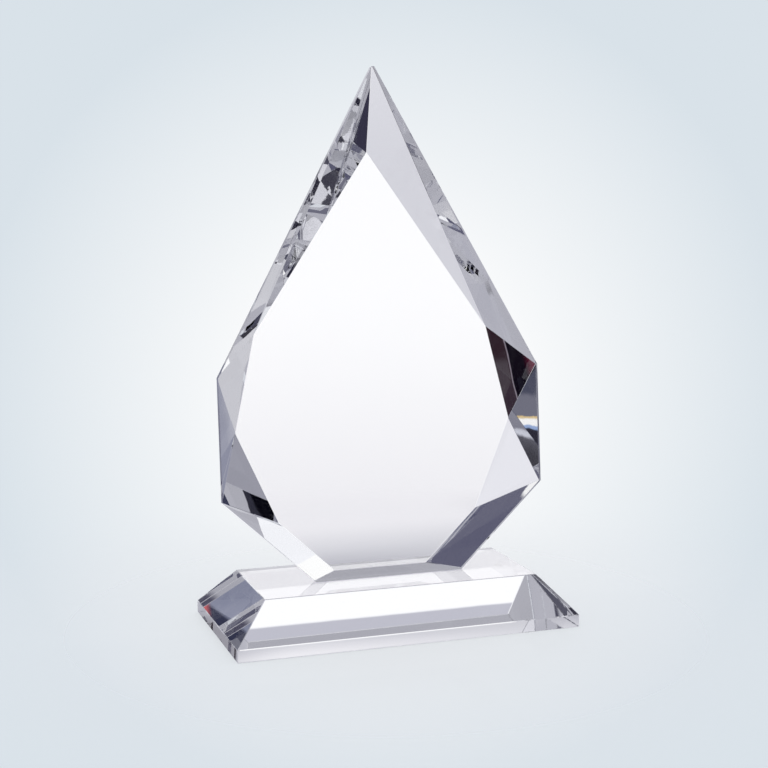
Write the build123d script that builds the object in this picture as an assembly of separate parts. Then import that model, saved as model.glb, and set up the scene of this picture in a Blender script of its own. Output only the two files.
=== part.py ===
from build123d import *
import math
import os

# Crystal award: a flat, faceted tablet of optical glass that stands on a bevelled
# glass block and is bonded to it. Millimetres. +Z is up, the clear front face looks
# towards -Y, and the origin is the middle of the underside of the block.

# ---- block ----
base_length = 127.0        # along X
base_depth = 63.5          # along Y
base_height = 18.0
base_side_height = 4.5     # upright band below the bevels
end_bevel_run = 12.5       # how far the end bevels lean in
front_bevel_run = 11.0     # how far the front and back bevels lean in

# ---- bond ----
bond_thickness = 0.2       # cured clear adhesive under the tablet's foot

# ---- tablet: sizes are measured in the plane of its front face ----
tablet_thickness = 17.0
tablet_lean = 6.0          # degrees that the front face leans back
tablet_forward = 5.6       # front edge of the foot, in front of the block's middle
tablet_width = 121.9       # across the two upright side edges
apex_height = 184.7        # where the two long edges would meet
shoulder_height = 74.4     # top of the upright side edges
corner_height = 30.6       # bottom of the upright side edges
foot_width = 56.0          # along the front edge of the foot
tip_cut = 0.9              # how much the point is blunted
girdle = 2.4               # square wall left between the front face and the facets

# ---- facets: places on the back panel, given from the outline they are ground in from ----
fold_length = 30.5         # from the apex down to the panel's top corner
shoulder_inset = 16.1      # panel's shoulder corner, in from the side edge
shoulder_rise = 14.8       # and above the shoulder
side_inset = 7.9           # panel's side corner, in from the side edge
side_rise = 1.6            # and above the middle of the side edge
corner_inset = 22.8        # panel's lower corner, in from the side edge
corner_drop = 10.0         # and below the lower corner


def closed_solid(outlines):
    """One solid whose faces are the given flat outlines."""
    faces = [Face(Wire.make_polygon(points, close=True)) for points in outlines]
    return Solid(Shell(faces))


def mirrored(points):
    """The same outline on the other side of the middle plane."""
    return [(-x, y, z) for x, y, z in reversed(points)]


def block():
    """Rectangular block with four bevels that meet in mitres under a flat top."""
    lower = Rectangle(base_length, base_depth)
    upper = Rectangle(base_length - 2 * end_bevel_run, base_depth - 2 * front_bevel_run)
    band = extrude(lower, base_side_height)
    crown = loft([Pos(0, 0, base_side_height) * lower, Pos(0, 0, base_height) * upper], ruled=True)
    return band + crown


# The tablet is drawn in its own plane: x across, y up the front face, z towards
# the viewer, so that the front face is at z = 0 and the back panel behind it.
lean = math.radians(tablet_lean)
face_plane = Plane(
    origin=(0, -tablet_forward, base_height + bond_thickness),
    x_dir=(1, 0, 0),
    z_dir=(0, -math.cos(lean), math.sin(lean)),
)
half_width = tablet_width / 2
half_foot = foot_width / 2
lower_slope = (half_width - half_foot) / corner_height


def foot_rise(depth):
    """Height of the level foot above the front edge, at a depth behind the front face."""
    return depth * math.tan(lean)


def outline(depth):
    """Right-hand corners of the full outline, from the apex to the foot, at a depth."""
    rise = foot_rise(depth)
    return [
        (0, apex_height, -depth),
        (half_width, shoulder_height, -depth),
        (half_width, corner_height, -depth),
        (half_foot + lower_slope * rise, rise, -depth),
    ]


def panel():
    """Right-hand corners of the flat back panel, from its top to the foot."""
    low_x = half_width - corner_inset
    low_y = corner_height - corner_drop
    rise = foot_rise(tablet_thickness)
    side_y = (shoulder_height + corner_height) / 2 + side_rise
    return [
        (0, apex_height - fold_length, -tablet_thickness),
        (half_width - shoulder_inset, shoulder_height + shoulder_rise, -tablet_thickness),
        (half_width - side_inset, side_y, -tablet_thickness),
        (low_x, low_y, -tablet_thickness),
        (low_x - lower_slope * (low_y - rise), rise, -tablet_thickness),
    ]


def full(right):
    """Closed outline from its right-hand corners, the first of which is on the middle."""
    return right + mirrored(right[1:])


def tablet():
    """Plate with a full front face, a square girdle and facets ground down to the back panel."""
    front, rear, back = outline(0), outline(girdle), panel()
    apex, shoulder, corner, foot = rear
    top, high, side, low, bottom = back
    right_side = [[front[i], front[i + 1], rear[i + 1], rear[i]] for i in range(3)]
    right_side += [
        [apex, high, top],
        [apex, shoulder, high],
        [shoulder, side, high],
        [shoulder, corner, side],
        [corner, low, side],
        [corner, foot, bottom, low],
    ]
    left_side = [mirrored(points) for points in right_side]
    sole = [front[3], foot, bottom] + mirrored([front[3], foot, bottom])
    solid = closed_solid([full(front), full(back), sole] + right_side + left_side)
    tip = Plane(origin=(0, apex_height - tip_cut, 0), z_dir=(0, 1, 0))
    return face_plane * split(solid, bisect_by=tip, keep=Keep.BOTTOM)


def bond(standing):
    """Film of cured adhesive, as wide as the foot that it holds."""
    sole = standing.faces().sort_by(Axis.Z)[0]
    return extrude(sole, bond_thickness, dir=(0, 0, -1))


crystal_base = block()
crystal_tablet = tablet()
adhesive_bond = bond(crystal_tablet)

os.makedirs("parts", exist_ok=True)
export_step(crystal_base, "parts/crystal_base.step")
export_step(crystal_tablet, "parts/crystal_tablet.step")
export_step(adhesive_bond, "parts/adhesive_bond.step")
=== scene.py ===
import math

import bpy
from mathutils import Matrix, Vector


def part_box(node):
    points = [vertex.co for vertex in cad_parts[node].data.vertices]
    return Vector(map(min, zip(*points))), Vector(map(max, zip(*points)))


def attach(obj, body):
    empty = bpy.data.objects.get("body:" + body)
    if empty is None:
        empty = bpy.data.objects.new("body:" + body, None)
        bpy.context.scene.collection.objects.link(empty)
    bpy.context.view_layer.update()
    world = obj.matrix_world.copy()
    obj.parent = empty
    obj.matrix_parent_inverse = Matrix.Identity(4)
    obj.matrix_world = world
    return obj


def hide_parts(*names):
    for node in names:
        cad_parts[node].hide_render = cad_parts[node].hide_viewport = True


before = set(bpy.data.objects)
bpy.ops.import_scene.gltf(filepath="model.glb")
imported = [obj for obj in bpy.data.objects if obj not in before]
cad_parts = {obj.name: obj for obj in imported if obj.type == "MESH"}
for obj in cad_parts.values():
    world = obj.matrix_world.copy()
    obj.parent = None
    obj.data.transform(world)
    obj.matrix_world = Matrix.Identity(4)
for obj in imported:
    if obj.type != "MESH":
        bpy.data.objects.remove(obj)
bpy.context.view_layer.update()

# A crystal award: a faceted tablet bonded to a bevelled block. Lengths are in metres and
# directions in degrees, azimuth 0 away from the viewer and positive to the right.
mm = 0.001

# ---- glass ----
crystal_ior = 1.517           # borosilicate crown, the usual optical crystal
arris_width = 0.35 * mm       # ground flat along each outer edge
fine_arris_width = 0.15 * mm  # the lighter one between two polished facets
wheel_ripple_scale = 55       # waves per metre that the polishing wheel leaves
felt_trace_scale = 420        # finer traces of the felt
felt_trace_share = 0.02       # their height, as a share of the wheel's ripple
cure_scale = 300              # cloudiness of the cured glue

# ---- shaping ----
weld_distance = 0.001 * mm
close_to = 0.01 * mm          # two levels that count as the same
flat_within = 0.2             # degrees between triangles of one flat face
right_angled = 0.01           # cosine below which two faces are square to each other
same_way = 0.99               # cosine above which two faces look the same way
corner_bend = 0.2             # radians, the least bend that gets a ground arris
facet_bend = 0.05             # radians, the least bend between two facets

# ---- camera ----
camera_azimuth = -19.0        # to the left of the front face
camera_elevation = 8.2
camera_distance = 550.1 * mm
camera_aim = Vector((-0.5 * mm, 0, 87.7 * mm))
camera_lens = 71.5
sensor_width = 36

# ---- stage ----
table_radius = 1.6
table_gap = 0.02 * mm         # between the table top and the block's underside
paint_gloss = 0.035           # share of the light that the lacquer mirrors
paint_thinning = 0.4          # share of the backdrop that shows through it by the award
sweep_top_slope = 0.3197      # rise over run from the award to the sweep's straight top edge
lamp_side = 1.2
lamp_height = 1.4
lamp_power = 18
glow_radius = 3.2             # degrees round the aim where the backdrop is white
backdrop_radius = 15.1        # and where it has fallen to its edge colour


# ------------------------------------------------------------------ node graphs

class Value:
    """A number in a node tree. Sums written with it add Math nodes."""

    def __init__(self, graph, socket):
        self.graph, self.socket = graph, socket

    def maths(self, operation, *others):
        values = dict(enumerate((self, *others)))
        return self.graph.node("ShaderNodeMath", {"operation": operation}, values).value()

    def __add__(self, other):
        return self.maths("ADD", other)

    def __sub__(self, other):
        return self.maths("SUBTRACT", other)

    def __mul__(self, other):
        return self.maths("MULTIPLY", other)

    def __rsub__(self, other):
        return self.graph.node("ShaderNodeMath", {"operation": "SUBTRACT"}, {0: other, 1: self}).value()

    __radd__, __rmul__ = __add__, __mul__

    def above(self, level, soft):
        """0 below level and 1 above it, with an edge as wide as soft."""
        sockets = {"Value": self, "From Min": level - soft / 2, "From Max": level + soft / 2}
        settings = {"interpolation_type": "SMOOTHSTEP"}
        return self.graph.node("ShaderNodeMapRange", settings, sockets).value("Result")

    def below(self, level, soft):
        """1 below level and 0 above it."""
        return 1 - self.above(level, soft)


class Made:
    """A node that has been added, from which outputs are read."""

    def __init__(self, graph, node):
        self.graph, self.node = graph, node

    def out(self, name=0):
        return self.node.outputs[name]

    def value(self, name=0):
        return Value(self.graph, self.out(name))


class Graph:
    """A node tree that is filled from nothing."""

    def __init__(self, owner):
        owner.use_nodes = True
        self.tree = owner.node_tree
        self.tree.nodes.clear()

    def node(self, kind, settings=None, sockets=None):
        """Adds a node. A socket is given a number, a colour, or what it is linked to."""
        node = self.tree.nodes.new(kind)
        for name, setting in (settings or {}).items():
            setattr(node, name, setting)
        for name, given in (sockets or {}).items():
            given = given.socket if isinstance(given, Value) else given
            given = given.out() if isinstance(given, Made) else given
            if isinstance(given, bpy.types.NodeSocket):
                self.tree.links.new(given, node.inputs[name])
            else:
                node.inputs[name].default_value = given
        return Made(self, node)

    def axes(self, vector):
        """The three numbers of a vector."""
        split = self.node("ShaderNodeSeparateXYZ", {}, {0: vector})
        return [split.value(axis) for axis in "XYZ"]

    def noise(self, place, scale, detail):
        sockets = {"Vector": place, "Scale": scale, "Detail": detail}
        return self.node("ShaderNodeTexNoise", {}, sockets).value()

    def colour(self, mask, low, high, label=""):
        """A colour that goes from low to high as the mask goes from 0 to 1."""
        settings = {"data_type": "RGBA", "label": label}
        return self.node("ShaderNodeMix", settings, {0: mask, 6: low, 7: high}).out(2)

    def blend(self, mask, low, high):
        """A shader that goes from low to high as the mask goes from 0 to 1."""
        return self.node("ShaderNodeMixShader", {}, {0: mask, 1: low, 2: high})

    def clear(self, colour):
        return self.node("ShaderNodeBsdfTransparent", {}, {"Color": colour})

    def finish(self, kind, shader):
        self.node(kind, {}, {"Surface": shader})


def grey(level, blue=0.0):
    """A pale colour, a little towards blue."""
    return (level * (1 - blue), level * (1 - blue / 3), level, 1)


def as_seen(red, green, blue):
    """The light that shows as this screen colour, each part from 0 to 255."""
    parts = [part / 255 for part in (red, green, blue)]
    return tuple(p / 12.92 if p < 0.04045 else ((p + 0.055) / 1.055) ** 2.4 for p in parts) + (1,)


# ------------------------------------------------------------------ materials

def crystal(name, ripple, roughness=0.0, clouding=0.0):
    """Crystal with a ripple of the given height. Lamps shine through it, with a little lost."""
    material = bpy.data.materials.new(name)
    graph = Graph(material)
    place = graph.node("ShaderNodeTexCoord").out("Object")
    wheel = graph.noise(place, wheel_ripple_scale, 1)
    felt = graph.noise(place, felt_trace_scale, 3)
    bump = graph.node("ShaderNodeBump", {}, {
        "Height": wheel + felt * felt_trace_share, "Distance": ripple, "Strength": 1,
    })
    glass = graph.node("ShaderNodeBsdfPrincipled", {}, {
        "Base Color": graph.colour(wheel, grey(0.985, 0.006), grey(0.995, 0.002)),
        "Roughness": felt.above(0.55, 0.2) * clouding + roughness,
        "IOR": crystal_ior, "Transmission Weight": 1, "Normal": bump,
    })
    lamp_ray = graph.node("ShaderNodeLightPath").value("Is Shadow Ray")
    shone_through = graph.clear(grey(0.93, 0.01))
    graph.finish("ShaderNodeOutputMaterial", graph.blend(lamp_ray, glass, shone_through))
    return material


def bonded_joint():
    """The wetted faces of a clear bond. Glue and glass have one index, so light isn't bent."""
    material = bpy.data.materials.new("bonded_joint")
    graph = Graph(material)
    place = graph.node("ShaderNodeTexCoord").out("Object")
    cure = graph.noise(place, cure_scale, 2)
    film = graph.blend(cure, graph.clear(grey(0.985)), graph.clear(grey(1.0)))
    graph.finish("ShaderNodeOutputMaterial", film)
    return material


# ------------------------------------------------------------------ shaping

def choose(piece, mode, wanted):
    """Edit mode with only those faces or edges of the piece selected that pass a test."""
    bpy.ops.object.select_all(action="DESELECT")
    piece.select_set(True)
    bpy.context.view_layer.objects.active = piece
    bpy.ops.object.mode_set(mode="EDIT")
    bpy.ops.mesh.select_all(action="DESELECT")
    bpy.ops.mesh.select_mode(type=mode)
    bpy.ops.object.mode_set(mode="OBJECT")
    items = piece.data.polygons if mode == "FACE" else piece.data.edges
    for item in items:
        item.select = wanted(item)
    bpy.ops.object.mode_set(mode="EDIT")


def merged_copy(node, name):
    """The CAD node's shape as a new piece with whole flat faces."""
    piece = bpy.data.objects.new(name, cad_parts[node].data.copy())
    bpy.context.scene.collection.objects.link(piece)
    piece.data.materials.clear()
    choose(piece, "FACE", lambda face: True)
    bpy.ops.mesh.customdata_custom_splitnormals_clear()
    bpy.ops.mesh.remove_doubles(threshold=weld_distance)
    bpy.ops.mesh.dissolve_limited(angle_limit=math.radians(flat_within))
    bpy.ops.mesh.faces_shade_flat()
    bpy.ops.object.mode_set(mode="OBJECT")
    return piece


def faces_at(mesh):
    """The normals of the faces on each edge."""
    found = {}
    for face in mesh.polygons:
        for key in face.edge_keys:
            found.setdefault(key, []).append(face.normal.copy())
    return found


def cut_arris(piece, width, slot, wanted):
    """Cuts a narrow flat along the wanted edges, with the finish in the given slot."""
    normals = faces_at(piece.data)
    choose(piece, "EDGE", lambda edge: wanted(*normals[edge.key]))
    bpy.ops.mesh.bevel(offset_type="WIDTH", offset=width, segments=1, material=slot, clamp_overlap=True)
    bpy.ops.object.mode_set(mode="OBJECT")


def give_finishes(piece, polish):
    """Fills the three slots that every piece has."""
    for material in (polish, ground, wetted):
        piece.data.materials.append(material)


def finished(piece, node):
    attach(piece, "root")
    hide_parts(node)


# ------------------------------------------------------------------ the award

polished = crystal("polished_facets", 0.015 * mm)
lapped = crystal("flat_lapped_crystal", 0.001 * mm)
ground = crystal("ground_arris", 0.02 * mm, roughness=0.08, clouding=0.15)
wetted = bonded_joint()
polished_slot, ground_slot, wetted_slot = 0, 1, 2

tablet_low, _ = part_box("crystal_tablet")


def tablet():
    """The faceted tablet, with arrises between its facets and round its outline."""
    piece = merged_copy("crystal_tablet", "faceted_tablet")
    give_finishes(piece, polished)
    mesh = piece.data
    front = min(mesh.polygons, key=lambda face: face.normal.y).normal.copy()

    def is_wall(normal):
        return abs(normal.dot(front)) < right_angled

    def is_sole(normal):
        return normal.z < -same_way

    def between_facets(*normals):
        plain = [is_wall(n) or is_sole(n) or n.dot(front) > same_way for n in normals]
        return not any(plain) and normals[0].angle(normals[1]) > facet_bend

    def on_outline(*normals):
        outer = any(map(is_wall, normals)) and not any(map(is_sole, normals))
        return outer and normals[0].angle(normals[1]) > corner_bend

    cut_arris(piece, fine_arris_width, polished_slot, between_facets)
    cut_arris(piece, arris_width, ground_slot, on_outline)
    for face in mesh.polygons:
        if is_sole(face.normal) and face.center.z < tablet_low.z + close_to:
            face.material_index = wetted_slot
    finished(piece, "crystal_tablet")
    return piece


def sole_of(piece):
    """Corners of the tablet's sole, in order."""
    sole = min(piece.data.polygons, key=lambda face: face.center.z)
    return [piece.data.vertices[i].co.copy() for i in sole.vertices]


def block(foot):
    """The bevelled block, its top divided along the outline of the foot that is glued to it."""
    piece = merged_copy("crystal_base", "bevelled_block")
    give_finishes(piece, lapped)
    cut_arris(piece, arris_width, ground_slot, lambda a, b: a.angle(b) > corner_bend)
    middle = sum(foot, Vector()) / len(foot)

    def inwards(start, end):
        side = Vector((0, 0, 1)).cross(end - start).normalized()
        return side if side.dot(middle - start) > 0 else -side

    def on_top(face):
        return face.normal.z > same_way

    sides = [(a, inwards(a, b)) for a, b in zip(foot, foot[1:] + foot[:1])]
    for corner, side in sides:
        choose(piece, "FACE", on_top)
        bpy.ops.mesh.bisect(plane_co=corner, plane_no=side)
        bpy.ops.object.mode_set(mode="OBJECT")
    for face in piece.data.polygons:
        if on_top(face) and all((face.center - corner).dot(side) > 0 for corner, side in sides):
            face.material_index = wetted_slot
    finished(piece, "crystal_base")


def bond():
    """The film of cured adhesive, wetted above and below and polished round its rim."""
    piece = merged_copy("adhesive_bond", "clear_bond")
    give_finishes(piece, polished)
    for face in piece.data.polygons:
        level = abs(face.normal.z) > 0.9
        face.material_index = wetted_slot if level else polished_slot
    finished(piece, "adhesive_bond")


standing = tablet()
block(sole_of(standing))
bond()


# ------------------------------------------------------------------ stage

def direction(azimuth, elevation):
    """Unit vector of a direction given in degrees."""
    a, e = math.radians(azimuth), math.radians(elevation)
    return Vector((math.sin(a) * math.cos(e), math.cos(a) * math.cos(e), math.sin(e)))


towards_camera = direction(180 - camera_azimuth, camera_elevation)


def lacquer(graph, place, reach):
    """Pale paint with a slight gloss, thinned out so that it fades into the backdrop."""
    cloud = graph.noise(place, 3, 1)
    tint = graph.colour(cloud, as_seen(222, 224, 224), as_seen(226, 228, 228))
    paint = graph.node("ShaderNodeBsdfDiffuse", {}, {"Color": tint})
    gloss = graph.node("ShaderNodeBsdfGlossy", {}, {"Color": grey(1.0), "Roughness": 0.03})
    thinned = reach.above(0.12, 0.2) * (1 - paint_thinning) + paint_thinning
    return graph.blend(thinned, graph.blend(paint_gloss, paint, gloss), graph.clear(grey(1.0)))


def lit_table(graph, x, y, reach):
    """The table as the crystal shows it: a glow with painted light from the sweep behind and from the
    room in front, and painted shade on its left. Places on it are in metres from the award's middle."""
    # Painted light: the table's glow is brighter on its right.
    right = x.above(0.04, 0.08) * y.above(-0.02, 0.04)
    lit = graph.colour(right, as_seen(181, 181, 192), as_seen(206, 206, 213), "lit_by_the_room")
    # Painted shade: the table's glow is dark on its far left, standing in for shade.
    far_left = x.below(-0.165, 0.01) * y.below(0.03, 0.01)
    near_left = x.below(-0.14, 0.01) * y.below(0.03, 0.01) * y.above(-0.05, 0.01)
    unlit = far_left.maths("MAXIMUM", near_left)
    lit = graph.colour(unlit, lit, as_seen(40, 34, 44), "painted_shade_on_left")
    # Painted light: the table's glow is brightest behind the award.
    behind = y.above(0.09, 0.05) * x.above(-0.03, 0.06) * x.below(0.11, 0.05)
    bright = graph.colour(y.above(0.125, 0.06), as_seen(221, 221, 228), as_seen(246, 245, 250))
    lit = graph.colour(behind, lit, bright, "lit_by_the_sweep")
    glow = graph.node("ShaderNodeEmission", {}, {"Color": lit})
    cover = reach.above(0.07, 0.01) * reach.below(0.2, 0.08)
    return graph.blend(cover, graph.clear(grey(1.0)), glow)


def floor():
    """A pale table top. The camera sees its paint, and the crystal sees a glow with painted light and
    shade.
    """
    bpy.ops.object.select_all(action="DESELECT")
    bpy.ops.mesh.primitive_circle_add(
        vertices=128, radius=table_radius, fill_type="NGON", location=(0, 0, -table_gap),
    )
    piece = bpy.context.active_object
    piece.name = "table_top"
    material = bpy.data.materials.new("white_lacquer")
    graph = Graph(material)
    place = graph.node("ShaderNodeTexCoord").out("Object")
    x, y, _ = graph.axes(place)
    reach = graph.node("ShaderNodeVectorMath", {"operation": "LENGTH"}, {0: place}).value("Value")
    direct = graph.node("ShaderNodeLightPath").value("Is Camera Ray")
    surface = graph.blend(direct, lit_table(graph, x, y, reach), lacquer(graph, place, reach))
    graph.finish("ShaderNodeOutputMaterial", surface)
    material.cycles.emission_sampling = "NONE"
    piece.data.materials.append(material)


class Room:
    """What the crystal bends and mirrors, by direction. A thing hung in it hides those before."""

    def __init__(self, graph, ray):
        self.graph, self.ray = graph, ray
        self.x, self.y, self.z = graph.axes(ray)
        self.azimuth = self.x.maths("ARCTAN2", self.y) * (180 / math.pi)
        self.elevation = self.z.maths("ARCSINE") * (180 / math.pi)
        # Painted shade: the grey left below the walls is the shaded table under the award.
        self.seen = as_seen(175, 175, 184)

    def patch(self, left, right, bottom, top, soft):
        """Mask of a patch between two azimuths and two elevations, with edges as wide as soft."""
        wide = self.azimuth.above(left, soft) * self.azimuth.below(right, soft)
        return wide * self.elevation.above(bottom, soft) * self.elevation.below(top, soft)

    def cover(self, name, mask, colour):
        """Hangs a colour where the mask is 1."""
        self.seen = self.graph.colour(mask, self.seen, colour, name)

    def hang(self, name, left, right, bottom, top, colour, soft=2.0):
        """Hangs a patch of one screen colour."""
        self.cover(name, self.patch(left, right, bottom, top, soft), as_seen(*colour))


def high_walls(room):
    """Grey walls, with a dim ceiling and what is fixed to it."""
    room.cover("grey_walls", room.elevation.above(-40, 8), as_seen(180, 180, 190))
    room.cover("dim_ceiling", room.elevation.above(53, 6), as_seen(87, 87, 110))
    room.hang("ceiling_lamp", -116, -98.3, 66.3, 80, (255, 255, 255), soft=0.4)
    room.hang("high_left_wall", -112, -48, 24, 46, (112, 112, 128))
    room.hang("beam_over_sweep", 3, 22, 39, 48, (92, 92, 112))
    room.hang("cupboard", 119.5, 131.3, 10, 25, (102, 104, 126), soft=0.6)


def wall_behind_camera(room):
    """Pale walls with a dark doorway between them."""
    room.hang("pale_wall", 168, 190, -28, 6, (230, 232, 238))
    room.hang("pale_wall", -190, -170.5, -28, 6, (230, 232, 238))
    room.hang("pale_side_wall", -158, -112, -9, 40, (216, 219, 227), soft=10)
    room.hang("doorway", 149, 168, -12, 17, (46, 46, 56))
    room.hang("grey_door", -170, -158, -12, 17, (156, 156, 168))
    room.hang("black_board", -126, -115, 23, 33, (8, 6, 14))


def left_wall(room):
    """Slate above and black below, with a lit edge between that is fringed blue and gold."""
    room.hang("slate_wall", -110, -6, -19, 13, (112, 112, 126), soft=4)
    room.hang("black_cloth", -90, -70, -19, -5.45, (34, 32, 44), soft=0.2)
    room.hang("blue_fringe", -90, -70, -5.62, -5.4, (150, 172, 214), soft=0.08)
    room.hang("gold_fringe", -90, -70, -5.2, -5.06, (216, 192, 142), soft=0.06)
    room.hang("lit_edge", -90, -70, -5.46, -5.15, (250, 250, 250), soft=0.1)
    room.hang("slate_board", -90, -70, -4.3, 2, (70, 72, 90), soft=0.3)
    room.hang("black_screen", -106, -88, -3, 7.65, (26, 24, 36), soft=0.2)
    room.hang("screen_rim", -106, -88, 7.65, 7.9, (235, 238, 250), soft=0.15)
    room.hang("wall_over_screen", -106, -88, 7.9, 16, (130, 130, 144))
    # Painted shade: the table far to the left, in shade, hung as a dark patch.
    room.hang("painted_shade_table_far_left", -134, -96, -31, -20, (36, 32, 42))
    room.hang("lamp_stand", -45, -35, -8, 6, (66, 66, 82), soft=0.5)
    room.hang("dark_upright", -25, -9, 2, 14, (54, 56, 70))


def clutter(room):
    """Small light and dark things, which the long left facet shows many times over, and painted shade
    on the table on the camera's side.
    """
    graph = room.graph
    cells = graph.node("ShaderNodeTexVoronoi", {}, {"Vector": room.ray, "Scale": 58})
    shade = graph.node("ShaderNodeSeparateColor", {}, {0: cells.out("Color")}).value()
    things = graph.colour(shade.above(0.56, 0.6), as_seen(32, 30, 46), as_seen(222, 222, 230))
    room.cover("clutter_below", room.patch(-178, -20, -78, -53, 2), things)
    room.cover("clutter_on_left", room.patch(-36, -18, 4, 16, 2), things)
    room.cover("clutter_behind", room.patch(-178, -106, -53, -32, 4), things)
    # Painted shade: the table on the camera's side, in shade, hung as a dark patch.
    room.hang("painted_shade_floor_camera_side", -178, -120, -76, -60, (52, 50, 68), soft=4)
    room.hang("low_shelf", 100, 130, -44, -34, (90, 90, 108))


def right_wall(room):
    """The table top on the right and the wall past it, with dark beams and a red light."""
    room.hang("table_on_right", 20, 110, -38, -6, (204, 204, 211), soft=3)
    room.hang("right_wall", 40, 75, -12, 24, (142, 144, 163))
    room.hang("right_wall_top", 56, 76, 21, 26, (136, 140, 163), soft=1)
    room.hang("right_beam", 58, 86, 24.1, 27.3, (48, 51, 74), soft=0.2)
    room.hang("red_light", 64.1, 64.95, 23.8, 24.5, (238, 108, 108), soft=0.3)
    room.hang("low_beam", 104, 118, 23.7, 25.5, (70, 68, 88), soft=0.5)
    room.hang("window_frame", 109, 112.65, 25.5, 28.3, (46, 46, 58), soft=0.1)
    room.hang("night_window", 109, 112.15, 25.5, 28.3, (0, 0, 6), soft=0.1)


def white_sweep(room):
    """White card behind the award, greyer towards the table and along its left edge, with a
    straight top edge and black flags to its left."""
    graph = room.graph
    rise = room.elevation.above(-10, 12)
    edge = graph.colour(rise, as_seen(218, 218, 226), as_seen(238, 238, 245))
    card = graph.colour(rise, as_seen(245, 244, 249), as_seen(264, 264, 266))
    under_top = (room.z - room.y * sweep_top_slope).below(0, 0.0019)
    room.hang("wall_over_sweep", 0, 36, 14, 31, (196, 196, 208))
    room.cover("sweep_edge", room.patch(-4, 40, -22, 40, 2) * under_top, edge)
    room.cover("sweep", room.patch(5, 40, -22, 40, 6) * under_top, card)
    room.hang("black_flag", -17, -4.5, -23, -9, (8, 3, 14))
    room.hang("brown_flag", -17, -10.12, -23, -9, (44, 27, 35), soft=0.1)
    room.hang("flag_seam", -10.16, -10.09, -23, -9, (140, 132, 144), soft=0.04)
    room.hang("magenta_light", -8.95, -4.5, -16, -14, (92, 18, 44), soft=0.6)


def soft_box(room):
    """High on the right, and a little dimmer at its right end."""
    room.hang("soft_box", 36, 57, 28, 46, (252, 253, 258))
    room.hang("soft_box_bright_end", 36, 46, 28, 46, (264, 264, 264))


def backdrop(graph, ray):
    """The plain pale ground that the camera sees past the award, brightest behind it."""
    sockets = {0: ray, 1: -towards_camera}
    facing = graph.node("ShaderNodeVectorMath", {"operation": "DOT_PRODUCT"}, sockets).value("Value")
    away = facing.maths("ARCCOSINE") * (180 / math.pi)
    sockets = {"Value": away, "From Min": glow_radius, "From Max": backdrop_radius}
    ramp = graph.node("ShaderNodeMapRange", {}, sockets).value("Result")
    return graph.colour(ramp, as_seen(255, 255, 255), as_seen(217, 226, 233))


def studio():
    """What surrounds the award: the room for the crystal, and the backdrop for the camera."""
    world = bpy.data.worlds.new("studio")
    bpy.context.scene.world = world
    graph = Graph(world)
    ray = graph.node("ShaderNodeTexCoord").out("Generated")
    room = Room(graph, ray)
    for furnish in (high_walls, wall_behind_camera, left_wall, clutter,
                    right_wall, white_sweep, soft_box):
        furnish(room)
    direct = graph.node("ShaderNodeLightPath").value("Is Camera Ray")
    seen = graph.colour(direct, room.seen, backdrop(graph, ray))
    light = graph.node("ShaderNodeBackground", {}, {"Color": seen, "Strength": 1})
    graph.finish("ShaderNodeOutputWorld", light)


def overhead_light():
    """A large soft lamp over the table. The crystal doesn't show it."""
    data = bpy.data.lights.new("overhead_softbox", "AREA")
    data.shape, data.size, data.size_y, data.energy = "RECTANGLE", lamp_side, lamp_side, lamp_power
    lamp = bpy.data.objects.new("overhead_softbox", data)
    lamp.location = (0, 0, lamp_height)
    lamp.visible_glossy = lamp.visible_transmission = lamp.visible_camera = False
    bpy.context.scene.collection.objects.link(lamp)


def camera():
    """Stands to the left of the front face and a little above it."""
    data = bpy.data.cameras.new("camera")
    data.lens, data.sensor_width = camera_lens, sensor_width
    seen_by = bpy.data.objects.new("camera", data)
    seen_by.location = camera_aim + towards_camera * camera_distance
    seen_by.rotation_euler = (-towards_camera).to_track_quat("-Z", "Y").to_euler()
    bpy.context.scene.collection.objects.link(seen_by)
    bpy.context.scene.camera = seen_by


floor()
studio()
overhead_light()
camera()

scene = bpy.context.scene
scene.view_settings.view_transform = "Standard"
scene.cycles.max_bounces = 32
scene.cycles.transmission_bounces = 32
scene.cycles.glossy_bounces = 24
scene.cycles.transparent_max_bounces = 32
scene.cycles.caustics_reflective = False
scene.cycles.caustics_refractive = False
scene.cycles.use_denoising = True
